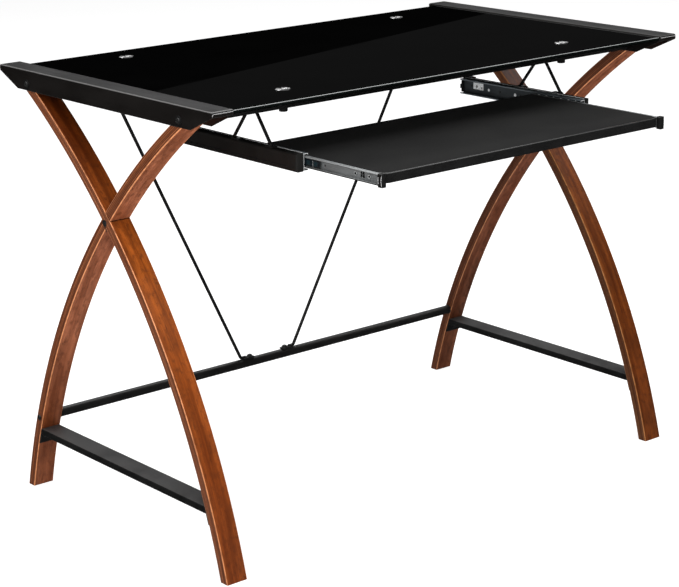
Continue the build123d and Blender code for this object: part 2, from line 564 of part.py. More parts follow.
with BuildPart() as tray_screws:
    for s in (-1, 1):
        for y in TRAY_SCREWS:
            head = along(s * (TRAY_X + 1.2), y, MID_Z, (s, 0, 0))
            rod(head, 3.3, 0, 0.9)
            rod(head, 1.7, -16, 0)
export(tray_screws.part, "tray_screws")
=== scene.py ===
"""Looks of a computer desk with crossed bentwood legs, a black glass top and a pull-out keyboard tray.

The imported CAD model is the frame, in metres: +X to the user's right, +Y to the back, +Z up.
Its nodes keep their shapes and get procedural materials here. Small pieces that the CAD leaves out,
such as weld beads, rivets, rubber stops and washers, are built in mesh code, in places taken from the
frame's boxes.
"""

import json
from math import cos, pi, radians, sin

import bmesh
import bpy
from mathutils import Matrix, Vector

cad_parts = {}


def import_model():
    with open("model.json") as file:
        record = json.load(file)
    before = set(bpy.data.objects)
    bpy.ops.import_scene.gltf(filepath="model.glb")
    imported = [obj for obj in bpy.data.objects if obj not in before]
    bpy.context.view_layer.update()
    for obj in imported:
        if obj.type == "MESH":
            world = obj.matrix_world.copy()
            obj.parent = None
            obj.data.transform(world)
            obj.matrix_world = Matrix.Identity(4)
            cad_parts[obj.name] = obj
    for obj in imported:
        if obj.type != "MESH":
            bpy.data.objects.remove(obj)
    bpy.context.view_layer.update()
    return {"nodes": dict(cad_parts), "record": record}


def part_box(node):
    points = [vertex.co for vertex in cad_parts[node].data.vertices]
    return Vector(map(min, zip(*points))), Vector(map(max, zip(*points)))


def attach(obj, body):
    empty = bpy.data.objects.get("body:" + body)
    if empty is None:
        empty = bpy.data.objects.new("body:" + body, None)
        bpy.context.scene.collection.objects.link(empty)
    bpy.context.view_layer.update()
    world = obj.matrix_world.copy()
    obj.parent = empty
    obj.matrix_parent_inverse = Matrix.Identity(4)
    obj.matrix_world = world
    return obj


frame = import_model()
NODES = frame["nodes"]

MM = 0.001
SIDES = (("left", -1), ("right", 1))

# Places taken from the frame
RAIL_LOW, RAIL_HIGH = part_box("left_end_rail")
GLASS_LOW, GLASS_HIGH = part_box("glass_top")
SLIDE_LOW, SLIDE_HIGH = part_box("left_slide_outer")
MIDDLE_Y = (RAIL_LOW.y + RAIL_HIGH.y) / 2  # middle of the desk's top
SLIDE_Z = (SLIDE_LOW.z + SLIDE_HIGH.z) / 2
FOOT_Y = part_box("left_rear_leg_lower")[1].y  # furthest back point of the rear foot

# Bends of the legs: each leg is a slice of a ring about an axis along X
LEG_R = 1262.0 * MM
LEG_T = 17.8 * MM
LEG_CZ = -302.5 * MM
LEG_REACH = (LEG_R**2 - LEG_CZ**2) ** 0.5 - (FOOT_Y - MIDDLE_Y)  # from the desk's middle to the ring's centre
PLY_T = LEG_T / 6

DISC_R = 12.5 * MM
BOLT_HEAD_R = 5.0 * MM


# ---------------------------------------------------------------- node graphs
class Look:
    """A procedural material, built up with short calls. Lengths inside it are metres."""

    def __init__(self, name, **sockets):
        self.material = bpy.data.materials.new(name)
        self.material.use_nodes = True
        self.tree = self.material.node_tree
        self.shader = self.tree.nodes["Principled BSDF"]
        for socket, value in sockets.items():
            self.shader.inputs[socket.replace("_", " ")].default_value = value

    def put(self, slot, value):
        """Gives an input a value, or links it to another node's output."""
        if isinstance(value, bpy.types.NodeSocket):
            self.tree.links.new(value, slot)
        else:
            slot.default_value = value

    def node(self, kind, inputs=None, **settings):
        """A new shader node; each input is a value or another node's output."""
        made = self.tree.nodes.new("ShaderNode" + kind)
        for key, value in settings.items():
            setattr(made, key, value)
        for slot, value in (inputs or {}).items():
            self.put(made.inputs[slot], value)
        return made

    def math(self, operation, *values):
        """A Math node's output."""
        return self.node("Math", dict(enumerate(values)), operation=operation).outputs[0]

    def plus(self, first, second):
        return self.math("ADD", first, second)

    def minus(self, first, second):
        return self.math("SUBTRACT", first, second)

    def times(self, first, second):
        return self.math("MULTIPLY", first, second)

    def size(self, value):
        """The value without its sign."""
        return self.math("ABSOLUTE", value)

    def spot(self):
        """The place on the object, in metres."""
        return self.node("TexCoord").outputs["Object"]

    def facing(self):
        """The three parts of the direction that the surface faces."""
        return self.split(self.node("TexCoord").outputs["Normal"])

    def split(self, vector):
        """The three parts of a vector."""
        return self.node("SeparateXYZ", {0: vector}).outputs

    def join(self, x, y, z):
        """The vector with those parts."""
        return self.node("CombineXYZ", {0: x, 1: y, 2: z}).outputs[0]

    def noise(self, vector, scale, detail=3.0, roughness=0.55):
        """Noise of about 0.5, the same in all directions."""
        inputs = {"Vector": vector, "Scale": scale, "Detail": detail, "Roughness": roughness}
        return self.node("TexNoise", inputs).outputs[0]

    def grain(self, vector, scales, detail=3.0, roughness=0.55):
        """Noise with a scale of its own along each axis."""
        scaled = self.node("VectorMath", {0: vector, 1: scales}, operation="MULTIPLY").outputs[0]
        return self.noise(scaled, 1.0, detail, roughness)

    def span(self, value, low, high, to_low=0.0, to_high=1.0):
        """value, smoothly taken from low..high to to_low..to_high."""
        inputs = {"Value": value, "From Min": low, "From Max": high, "To Min": to_low, "To Max": to_high}
        return self.node("MapRange", inputs, interpolation_type="SMOOTHSTEP").outputs[0]

    def mix(self, share, first, second, blend="MIX"):
        """A colour between two colours."""
        made = self.node("Mix", data_type="RGBA", blend_type=blend)
        for slot, value in ((0, share), (6, first), (7, second)):  # Mix's sockets for colours
            self.put(made.inputs[slot], value)
        return made.outputs[2]

    def stain(self, colour, mask, low, high, share, tone):
        """The colour with tone over it where mask rises from low to high, up to that share."""
        return self.mix(self.span(mask, low, high, 0.0, share), colour, tone)

    def worn(self, radius):
        """1 on the object's sharp edges and 0 away from them."""
        flat, sharp = 0.985, 0.86  # cosines of the turn from the face to the rounded edge
        round_normal = self.node("Bevel", {"Radius": radius}, samples=6).outputs[0]
        normal = self.node("NewGeometry").outputs["Normal"]
        turn = self.node("VectorMath", {0: round_normal, 1: normal}, operation="DOT_PRODUCT").outputs[1]
        return self.span(turn, flat, sharp)

    def eased(self, radius):
        """The surface's normal, with sharp edges rounded."""
        return self.node("Bevel", {"Radius": radius}, samples=4).outputs[0]

    def bump(self, height, distance, strength=1.0, under=None):
        """The normal of a surface raised by height, over the normal under it."""
        inputs = {"Height": height, "Distance": distance, "Strength": strength}
        if under is not None:
            inputs["Normal"] = under
        return self.node("Bump", inputs).outputs[0]

    def feed(self, **sockets):
        """Links outputs to the shader."""
        for socket, output in sockets.items():
            self.tree.links.new(output, self.shader.inputs[socket.replace("_", " ")])
        return self.material


def grey(value, tint=(1.0, 1.0, 1.0)):
    """A linear colour of that brightness."""
    return (value * tint[0], value * tint[1], value * tint[2], 1.0)


PATCHY = (0.3, 0.7)  # the part of a noise's range that goes from one look to the other


# ---------------------------------------------------------------- materials
def powder_coat(name, base, edge, roughness=0.42, peel=1.0, dust=0.02):
    """Black powder-coated steel: fine orange peel, uneven sheen, slightly rubbed edges, and upward faces
    lighter, partly dust and partly painted sheen.
    """
    look = Look(name, Specular_IOR_Level=0.42)
    spot = look.spot()
    cloud = look.noise(spot, 22, 4)
    grit = look.noise(spot, 1500, 2)
    rubbed = look.times(look.worn(0.8 * MM), look.span(look.noise(spot, 160, 4), 0.38, 0.62))
    colour = look.mix(look.span(cloud, *PATCHY), grey(base), grey(base * 1.6, (1.0, 0.99, 0.96)))
    # the upward faces take the grey dust: partly dust, partly painted sheen of the overhead light
    up = look.span(look.facing()[2], 0.75, 0.98)
    dust_and_sheen = look.times(up, look.span(cloud, 0.2, 0.7, 0.7, 1.0))
    colour = look.mix(dust_and_sheen, colour, grey(dust))
    colour = look.mix(rubbed, colour, grey(edge))
    rough = look.span(cloud, *PATCHY, roughness - 0.05, roughness + 0.07)
    normal = look.bump(grit, 0.05 * MM * peel, 0.5, look.eased(0.35 * MM))
    return look.feed(Base_Color=colour, Roughness=rough, Normal=normal)


def zinc_plate(name, base, tint, roughness=0.34, rim=None, shade_under_flange=None):
    """Zinc-plated rolled steel: fine rolling lines along Y, blotches and bright edges.
    rim is (height from the slides' middle, brightness) where the flanges are painted lighter than the web, a
    painted highlight.
    The last argument is the brightness of a painted shade line under the upper flange, and five times that of
    the painted shade strip along the lower edge."""
    look = Look(name, Metallic=0.3)
    spot = look.spot()
    rolling = look.grain(spot, (1400, 26, 1400))
    blotch = look.grain(spot, (60, 34, 60), 4, 0.6)
    colour = look.mix(look.span(blotch, 0.32, 0.68), grey(base * 0.82, tint), grey(base * 1.15, tint))
    colour = look.mix(look.span(rolling, 0.35, 0.75), colour, grey(base * 1.3, tint))
    # painted highlight: the flanges lighter than the web
    if rim:
        half, brightness = rim
        away = look.size(look.minus(look.split(spot)[2], SLIDE_Z))
        colour = look.mix(look.span(away, half - 0.5 * MM, half), colour, grey(brightness, tint))
    colour = look.mix(look.worn(0.7 * MM), colour, grey(min(0.95, base * 2.1)))
    # painted shade: a dark line under the upper flange and a darker strip along the lower edge
    if shade_under_flange:
        rise = look.minus(look.split(spot)[2], SLIDE_Z)
        line = look.times(look.span(rise, 6.2 * MM, 6.6 * MM), look.span(rise, 7.6 * MM, 7.2 * MM))
        colour = look.mix(line, colour, grey(shade_under_flange))
        colour = look.mix(look.span(rise, -6.95 * MM, -7.15 * MM), colour, grey(shade_under_flange * 0.2))
    rough = look.span(blotch, *PATCHY, roughness - 0.06, roughness + 0.1)
    normal = look.bump(rolling, 0.03 * MM, 0.6, look.eased(0.4 * MM))
    return look.feed(Base_Color=colour, Roughness=rough, Normal=normal)


# (wide faces, narrow faces) of the front legs, 1, and of the rear legs, -1; dark and light wood of each
TONES = {
    1: (((0.13, 0.026, 0.0032, 1), (0.43, 0.110, 0.0165, 1)),
        ((0.24, 0.066, 0.024, 1), (0.60, 0.225, 0.100, 1))),
    -1: (((0.19, 0.060, 0.032, 1), (0.42, 0.150, 0.085, 1)),
         ((0.19, 0.050, 0.014, 1), (0.52, 0.170, 0.058, 1))),
}

# What lies over the wood
MOTTLE, BLOOM, BLUSH = (0.055, 0.015, 0.005, 1), (0.075, 0.020, 0.006, 1), (0.30, 0.070, 0.015, 1)
DARK_PLY, FIBRE, PORE = (0.125, 0.034, 0.012, 1), (0.075, 0.017, 0.005, 1), (0.035, 0.009, 0.004, 1)
# The last colour on the next line is a painted highlight along the legs' eased edges
GLUE, SEAM, EDGE_HIGHLIGHT = (0.05, 0.013, 0.006, 1), (0.028, 0.009, 0.005, 1), (0.85, 0.36, 0.17, 1)

# Multipliers of the wide faces, painted light and shade: darker near the feet, lighter higher up, and darker
# at the front legs' crossing and above it
LOW_PAINTED_SHADE, MID_PAINTED_LIGHT, TOP_PAINTED_SHADE = (0.80, 0.68, 0.42, 1), (1.25, 1.20, 1.02, 1), (0.62, 0.52, 0.36, 1)

# How much of the left legs' brightness the right legs keep: painted shade, as the right legs stand in shade
RIGHT_PAINTED_SHADE = {"front_leg": 0.62, "rear_leg_lower": 0.60, "rear_leg_upper": 0.85}


def bend(look, y, z, sign):
    """The distance from the axis of a leg's bend, and its parts along Y and Z."""
    dy = look.minus(y, MIDDLE_Y + sign * LEG_REACH)
    dz = look.minus(z, LEG_CZ)
    squares = look.plus(look.math("POWER", dy, 2.0), look.math("POWER", dz, 2.0))
    return look.math("SQRT", squares), dy, dz


def bent_wood(name, sign, box, seed, light):
    """Stained bent lamination. sign is 1 for the front leg's bend and -1 for the rear leg's.
    light multiplies its colour: below 1, on the right legs, it is painted shade."""
    look = Look(name, Specular_IOR_Level=0.35, Coat_Weight=0.08, Coat_Roughness=0.3)
    x, y, z = look.split(look.spot())
    radius, dy, dz = bend(look, y, z, sign)
    angle = look.math("ARCTAN2", dz, look.times(dy, -float(sign)))
    depth = look.minus(LEG_R, radius)  # 0 on the convex face
    along = look.plus(look.times(angle, LEG_R), 3.7 * seed)
    ply = look.math("FLOOR", look.math("DIVIDE", depth, PLY_T))
    shifted = look.plus(x, look.times(ply, 0.731))  # gives each ply a figure of its own
    flow = look.join(shifted, depth, along)
    wander = look.times(look.grain(flow, (30, 30, 4), 2), 0.012)
    swum = look.join(look.plus(shifted, wander), depth, along)

    figure = look.grain(swum, (95, 160, 3.2), 4, 0.6)
    fibre = look.grain(swum, (950, 950, 16), 3, 0.6)
    pores = look.grain(swum, (1900, 1900, 60), 1)
    blush = look.grain(flow, (12, 12, 3), 2)
    mottle = look.grain(flow, (130, 130, 75), 5, 0.7)
    bloom = look.grain(flow, (34, 34, 15), 3, 0.6)
    side = look.span(look.size(look.facing()[0]), 0.55, 0.85)  # 1 on the narrow faces

    wide_tones, narrow_tones = TONES[sign]
    wide = look.mix(look.span(figure, 0.28, 0.72), *wide_tones)
    wide = look.stain(wide, mottle, 0.48, 0.66, 0.6, MOTTLE)
    wide = look.stain(wide, bloom, 0.42, 0.62, 0.38, BLOOM)
    narrow = look.mix(look.span(figure, *PATCHY), *narrow_tones)
    colour = look.mix(side, wide, narrow)
    colour = look.stain(colour, blush, 0.3, 0.75, 0.3, BLUSH)
    tone = look.node("TexWhiteNoise", {"W": look.plus(ply, seed)}, noise_dimensions="1D").outputs[0]
    colour = look.mix(look.times(look.times(side, tone), 0.62), colour, DARK_PLY)
    colour = look.stain(colour, fibre, 0.42, 0.68, 0.42, FIBRE)
    colour = look.stain(colour, pores, 0.62, 0.70, 0.5, PORE)

    # glue lines between the plies, seen on the narrow faces
    phase = look.math("FRACT", look.math("DIVIDE", depth, PLY_T))
    from_line = look.times(look.math("MINIMUM", phase, look.minus(1.0, phase)), PLY_T)
    glue = look.times(look.span(from_line, 0.85 * MM, 0.25 * MM), side)
    colour = look.mix(look.times(glue, 0.85), colour, GLUE)

    # painted highlight along the eased edges, lighter in patches
    to_side = look.math("MINIMUM", look.minus(x, box[0].x), look.minus(box[1].x, x))
    to_face = look.math("MINIMUM", depth, look.minus(LEG_T, depth))
    from_edge = look.math("MAXIMUM", to_side, to_face)
    uneven = look.span(look.noise(flow, 60, 3), 0.3, 0.6, 0.35, 0.95)
    colour = look.mix(look.times(look.span(from_edge, 2.0 * MM, 0.5 * MM), uneven), colour, EDGE_HIGHLIGHT)

    # dark stain collected where a rear leg piece butts against the front leg
    if sign < 0:
        front = bend(look, y, z, 1)[0]
        outer = look.size(look.minus(front, LEG_R))
        inner = look.size(look.minus(front, LEG_R - LEG_T))
        seam = look.span(look.math("MINIMUM", outer, inner), 1.7 * MM, 0.5 * MM)
        colour = look.mix(look.times(seam, 0.85), colour, SEAM)

    # painted light and shade on the wide faces: darker near the feet, lighter higher up, and on the front
    # legs darker again at the crossing and above it
    painted_light_by_height = look.mix(look.span(z, 0.10, 0.42), LOW_PAINTED_SHADE, MID_PAINTED_LIGHT)
    if sign > 0:
        painted_light_by_height = look.mix(look.span(z, 0.50, 0.66), painted_light_by_height, TOP_PAINTED_SHADE)
    lit_by_height = look.mix(1.0, colour, painted_light_by_height, "MULTIPLY")
    colour = look.mix(look.minus(1.0, side), colour, lit_by_height)
    # painted shade: light below 1 darkens the right legs, with a tint of its own
    tint = (1.0, 1.0, 0.72) if light < 1 and sign > 0 else (1, 0.96, 0.9)
    colour = look.mix(1.0, colour, grey(light, tint), "MULTIPLY")
    rough = look.span(figure, 0.25, 0.75, 0.36, 0.48)
    height = look.minus(look.times(fibre, 0.5), look.times(glue, 0.6))
    return look.feed(Base_Color=colour, Roughness=rough, Normal=look.bump(height, 0.12 * MM, 0.5))


def black_glass():
    """Tempered glass, black all through from the print under it, with a painted highlight on its polished
    arris.
    """
    look = Look("black_glass", Specular_IOR_Level=0.18, Roughness=0.03, IOR=1.5)
    spot = look.spot()
    z = look.split(spot)[2]
    up = look.facing()[2]
    slanted = look.times(look.span(up, 0.3, 0.6), look.span(up, 0.97, 0.85))
    arris_highlight = look.times(slanted, look.span(z, GLASS_HIGH.z - 0.8 * MM, GLASS_HIGH.z - 0.35 * MM))
    upright = look.span(up, 0.3, 0.1)
    band = look.times(upright, look.span(z, GLASS_LOW.z + 0.4 * MM, GLASS_LOW.z + 2.2 * MM))
    colour = look.mix(look.noise(spot, 9, 2), grey(0.0008), grey(0.0016))
    colour = look.mix(look.times(band, 0.3), colour, (0.008, 0.012, 0.011, 1))
    # painted highlight: the arris lighter, as if catching the light
    colour = look.mix(arris_highlight, colour, (0.36, 0.375, 0.37, 1))
    smear = look.grain(spot, (7, 11, 1), 5, 0.65)
    rough = look.plus(look.span(smear, 0.45, 0.75, 0.004, 0.018), look.times(arris_highlight, 0.25))
    return look.feed(Base_Color=colour, Roughness=rough)


def satin_rail():
    """Painted moulding of the end rails: satin, with painted sheen in streaks on its top, painted shade on
    its downward faces and a painted highlight, a soft lighter line along its upper edges. The line is fainter
    on the right rail, as painted light."""
    look = Look("satin_rail", Specular_IOR_Level=0.36, Coat_Weight=0.05, Coat_Roughness=0.35)
    spot = look.spot()
    x, y, z = look.split(spot)
    facing_up = look.facing()[2]
    cloud = look.grain(spot, (30, 9, 30), 4)
    streak = look.grain(spot, (420, 14, 420), 4)
    peel = look.noise(spot, 700, 3)
    dark, pale = grey(0.0048, (1.22, 1.0, 0.88)), grey(0.0085, (1.2, 1.0, 0.9))
    colour = look.mix(look.span(cloud, *PATCHY), dark, pale)
    # painted sheen: the top lighter, in streaks along Y
    top = look.mix(look.span(streak, *PATCHY), grey(0.008), grey(0.022, (1.02, 1.0, 1.0)))
    colour = look.mix(look.span(facing_up, 0.6, 0.95), colour, top)
    # painted shade: the downward faces darker
    colour = look.mix(look.span(facing_up, -0.2, -0.5), colour, grey(0.0015))
    # painted highlight along the upper outer edge and the ends, fainter on the right rail
    near_top = look.span(z, RAIL_HIGH.z - 1.7 * MM, RAIL_HIGH.z - 0.8 * MM)
    outer = look.span(look.size(x), -RAIL_LOW.x - 2.6 * MM, -RAIL_LOW.x - 1.2 * MM)
    half = RAIL_HIGH.y - MIDDLE_Y
    end = look.span(look.size(look.minus(y, MIDDLE_Y)), half - 2.2 * MM, half - 1.0 * MM)
    line = look.times(near_top, look.math("MAXIMUM", outer, end))
    line = look.times(line, look.span(x, 0.1, -0.1, 0.25, 1.0))
    colour = look.mix(line, colour, grey(0.12, (1.02, 1.0, 0.99)))
    scuff = look.times(look.worn(1.6 * MM), look.span(look.noise(spot, 90, 4), 0.35, 0.6, 0.3, 1.0))
    colour = look.mix(scuff, colour, grey(0.05, (1.04, 1.0, 0.96)))
    rough = look.span(cloud, *PATCHY, 0.42, 0.52)
    return look.feed(Base_Color=colour, Roughness=rough, Normal=look.bump(peel, 0.05 * MM, 0.35))


def laminate(name, base, roughness):
    """Matt black board face: fine leather-like press texture, with painted light: lighter towards the back,
    where the desk top shades it, and darker at the front.
    """
    look = Look(name, Specular_IOR_Level=0.03)
    spot = look.spot()
    cells = look.node("TexVoronoi", {"Vector": spot, "Scale": 620.0}, feature="DISTANCE_TO_EDGE").outputs[0]
    creases = look.span(cells, 0.02, 0.22)
    cloud = look.noise(spot, 7, 5, 0.6)
    dust = look.noise(spot, 420, 3)
    colour = look.mix(look.span(cloud, *PATCHY), grey(base), grey(base * 1.25, (1.0, 1.0, 0.98)))
    colour = look.stain(colour, dust, 0.6, 0.72, 0.3, grey(base * 2.2))
    # painted light: the board lighter towards the back, where the desk top shades it, and darker at the front
    low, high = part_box("tray_board")
    painted_light_to_back = look.span(look.split(spot)[1], low.y + 0.05, high.y)
    colour = look.mix(1.0, colour, look.mix(painted_light_to_back, grey(0.62), grey(2.0)), "MULTIPLY")
    rough = look.span(cloud, *PATCHY, roughness - 0.04, roughness + 0.05)
    normal = look.bump(creases, 0.05 * MM, 0.5, look.eased(0.5 * MM))
    return look.feed(Base_Color=colour, Roughness=rough, Normal=normal)


def moulded(name, base, tint=(1.0, 1.0, 1.0), roughness=0.5, grain=0.08):
    """Injection-moulded plastic with a spark-eroded texture and shiny rubbed edges."""
    look = Look(name, Specular_IOR_Level=0.45)
    spot = look.spot()
    spark = look.noise(spot, 1100, 3, 0.7)
    cloud = look.noise(spot, 30, 3)
    colour = look.mix(look.span(cloud, *PATCHY), grey(base, tint), grey(base * 1.4, tint))
    colour = look.mix(look.times(look.worn(1.2 * MM), 0.6), colour, grey(base * 3.2))
    rough = look.span(spark, *PATCHY, roughness - 0.07, roughness + 0.07)
    normal = look.bump(spark, grain * MM, 0.6, look.eased(0.4 * MM))
    return look.feed(Base_Color=colour, Roughness=rough, Normal=normal)


def turned_steel(name, base, tint, roughness):
    """Bright metal with faint marks of turning and polishing."""
    look = Look(name, Metallic=1.0)
    spot = look.spot()
    marks = look.grain(spot, (500, 500, 2600))
    haze = look.noise(spot, 260, 3)
    colour = look.mix(look.span(haze, *PATCHY), grey(base * 0.88, tint), grey(base, tint))
    rough = look.span(marks, *PATCHY, roughness - 0.05, roughness + 0.08)
    normal = look.bump(marks, 0.02 * MM, 0.5, look.eased(0.3 * MM))
    return look.feed(Base_Color=colour, Roughness=rough, Normal=normal)


def disc_metal():
    """The discs in the glass: a painted reflection, a bright waisted band along X, with painted dark
    reflection beside it.
    """
    half_width, waist, pitch, blur = 7.4 * MM, 1.7 * MM, 11 * MM, 0.8 * MM  # of the painted bright reflection
    look = Look("disc_chrome", Metallic=0.85)
    spot = look.spot()
    x, y, _ = look.split(spot)
    low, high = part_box("glass_discs")
    centre_x = high.x - (DISC_R + 0.2 * MM)
    centre_y = (high.y - low.y) / 2 - DISC_R
    across = look.minus(look.size(x), centre_x)
    deep = look.minus(look.size(look.minus(y, (low.y + high.y) / 2)), centre_y)
    wave = look.times(look.math("COSINE", look.times(across, 2 * pi / pitch)), waist)
    past = look.minus(look.size(deep), look.minus(half_width, wave))
    haze = look.noise(spot, 260, 3)
    # painted reflection: bright inside the waisted band, dark outside it
    painted_reflection = look.mix(look.span(haze, *PATCHY), grey(0.86), grey(0.96))
    colour = look.mix(look.span(past, blur, -blur), grey(0.06), painted_reflection)
    rough = look.span(haze, *PATCHY, 0.2, 0.34)
    return look.feed(Base_Color=colour, Roughness=rough, Normal=look.eased(0.3 * MM))


WHITE = (1, 1, 1)
COOL = (0.94, 0.985, 1.0)

GLASS = black_glass()
RAIL = satin_rail()
STEEL = powder_coat("black_steel_look", 0.0075, 0.05)
# the stretchers' tops are painted much lighter: partly dust, partly painted sheen of the overhead light
STRETCHER = powder_coat("stretcher_look", 0.0075, 0.09, dust=0.075)
BOLT = powder_coat("black_oxide_bolt", 0.010, 0.09, 0.36, 0.4)
ZINC = zinc_plate("zinc_look", 0.30, COOL, 0.42)
# the inner members' zinc, with painted highlights on the flanges and painted shade under them
ZINC_INNER = zinc_plate("zinc_inner", 0.27, COOL, 0.42, (8.1 * MM, 0.36), 0.07)
# a shaded copy of the zinc for the outer members: painted shade, with painted highlights along their flange
# edges
ZINC_DARK = zinc_plate("zinc_shaded", 0.055, (0.80, 0.92, 1.0), 0.42, (12.4 * MM, 0.26))
# a lit copy of the zinc, a painted highlight: for the rear plates, rivets, mouth lips and end clip edges
ZINC_HIGHLIT = zinc_plate("zinc_painted_highlight", 0.86, (0.98, 1.0, 1.0), 0.3)
# a lit copy of the zinc for the screw crowns, a painted highlight
ZINC_CROWN_HIGHLIT = zinc_plate("zinc_crown_highlight", 0.5, (0.95, 1.0, 1.0), 0.35)
CAGE = moulded("cage_blue_black", 0.010, (0.55, 0.95, 1.35), 0.38, 0.03)
MOULDING = moulded("moulded_black", 0.0095, (1.05, 1.0, 0.93), 0.46, 0.14)
END_BLOCK = moulded("block_black", 0.007, WHITE, 0.42, 0.05)
TRAY = laminate("tray_laminate", 0.020, 0.66)
EDGE = moulded("edge_strip_black", 0.0085, WHITE, 0.3, 0.02)
DISC = disc_metal()
BALL = turned_steel("ball_steel", 0.9, (1.0, 1.0, 0.99), 0.24)
PIN = turned_steel("steel_pin_look", 0.55, (1.0, 0.99, 0.97), 0.35)
RUBBER = moulded("black_rubber", 0.006, WHITE, 0.75, 0.05)
# near black: the rail washers and the leg seams, and painted shade in holes, recesses and gaps
DARK = moulded("deep_dark", 0.002, WHITE, 0.8, 0.02)
PANE = moulded("cage_teal_pane", 0.016, (0.45, 1.25, 1.6), 0.35, 0.02)
# painted highlights: bright thin lines along the rail caps' rims and, brighter, the tray rails' inner top
# edges
HIGHLIGHT_LINE = moulded("painted_highlight_line", 0.22, WHITE, 0.3, 0.02)
HIGHLIGHT_LINE_LIGHT = moulded("painted_highlight_line_light", 0.55, (0.97, 0.99, 1.0), 0.3, 0.02)

LOOKS = {
    "glass_black": GLASS, "disc_metal": DISC, "rail_black": RAIL, "black_steel": STEEL,
    "steel_pin": PIN, "black_moulding": MOULDING, "zinc": ZINC, "cage_dark": CAGE,
    "tray_black": TRAY, "edge_black": EDGE,
}
BOLTS = ("rail_bolts", "stretcher_bolts", "brace_bolts", "crossing_nut")
LEGS = (("front_leg", 1), ("rear_leg_lower", -1), ("rear_leg_upper", -1))  # and the way each bends


def dress(node, material):
    """Gives a CAD node its material."""
    NODES[node].data.materials.clear()
    NODES[node].data.materials.append(material)


for subpart in frame["record"]["subparts"]:
    if subpart["material_slot"] != "leg_wood":
        name = subpart["node"]
        dress(name, BOLT if name.endswith(BOLTS) else LOOKS[subpart["material_slot"]])

seed = 0
for side, sign in SIDES:
    for leg, way in LEGS:
        seed += 1
        name = f"{side}_{leg}"
        light = RIGHT_PAINTED_SHADE[leg] if side == "right" else 1.0
        dress(name, bent_wood(f"wood_{name}", way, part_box(name), seed, light))
    dress(f"{side}_end_block", END_BLOCK)
    dress(f"{side}_end_clip", END_BLOCK)
    dress(f"{side}_side_stretcher", STRETCHER)
    dress(f"{side}_balls", BALL)
    dress(f"{side}_slide_outer", ZINC_DARK)
    dress(f"{side}_slide_inner", ZINC_INNER)
dress("tray_screws", ZINC_INNER)


# ---------------------------------------------------------------- mesh tools
def piece(name, mesh, material, body):
    """Puts a finished bmesh into the scene, riding on a CAD body."""
    data = bpy.data.meshes.new(name)
    mesh.normal_update()
    mesh.to_mesh(data)
    mesh.free()
    data.materials.append(material)
    for face in data.polygons:
        face.use_smooth = True
    data.set_sharp_from_angle(angle=radians(35))
    made = bpy.data.objects.new(name, data)
    bpy.context.scene.collection.objects.link(made)
    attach(made, body)
    return made


def ring(mesh, radius, height, turn, place, steps):
    """Adds a circle of vertices. turn takes +Z to its axis, and height is its place along that."""
    angles = [2 * pi * k / steps for k in range(steps)]
    points = [Vector((radius * cos(angle), radius * sin(angle), height)) for angle in angles]
    return [mesh.verts.new(turn @ point + place) for point in points]


def skin(mesh, low, high):
    """Adds the faces between two circles of vertices."""
    steps = len(low)
    for k in range(steps):
        mesh.faces.new((low[k], low[(k + 1) % steps], high[(k + 1) % steps], high[k]))


def turn_to(axis):
    """The rotation that takes +Z to the axis."""
    return Vector((0, 0, 1)).rotation_difference(Vector(axis)).to_matrix()


def turned(mesh, profile, place, axis, steps=40):
    """Adds a solid of revolution. profile holds (radius, height) pairs in millimetres, the height
    along the axis from place."""
    turn = turn_to(axis)
    rings = [ring(mesh, radius * MM, height * MM, turn, Vector(place), steps) for radius, height in profile]
    for low, high in zip(rings, rings[1:] + rings[:1]):
        skin(mesh, low, high)


def slab(mesh, corner, opposite, bevel, segments=2):
    """Adds a box with rounded edges by two opposite corners."""
    low = Vector([min(pair) for pair in zip(corner, opposite)])
    high = Vector([max(pair) for pair in zip(corner, opposite)])
    grown = bmesh.ops.create_cube(mesh, size=1.0)["verts"]
    for vert in grown:
        vert.co = Vector([c * (h - l) for c, l, h in zip(vert.co, low, high)]) + (low + high) / 2
    edges = list({edge for vert in grown for edge in vert.link_edges})
    bmesh.ops.bevel(mesh, geom=edges, offset=bevel, segments=segments, affect="EDGES", profile=0.5)


def pipe(mesh, points, radius, steps=10):
    """Adds a round bar along points, closed at its ends, with an uneven skin like a weld bead's."""
    swell, beat = 0.16, 2.3
    rings = []
    for i, point in enumerate(points):
        ahead = points[min(i + 1, len(points) - 1)] - points[max(i - 1, 0)]
        rings.append(ring(mesh, radius * (1 + swell * sin(i * beat)), 0.0, turn_to(ahead), point, steps))
    for low, high in zip(rings, rings[1:]):
        skin(mesh, low, high)
    mesh.faces.new(rings[0][::-1])
    mesh.faces.new(rings[-1])


def washer(mesh, place, axis, hole, rim, thick):
    """Adds a stamped washer, in millimetres, lying on a face at place whose outward direction is axis."""
    ease = thick * 0.35
    turned(mesh, ((hole, 0), (rim, 0), (rim, thick - ease), (rim - ease, thick), (hole, thick)), place, axis)


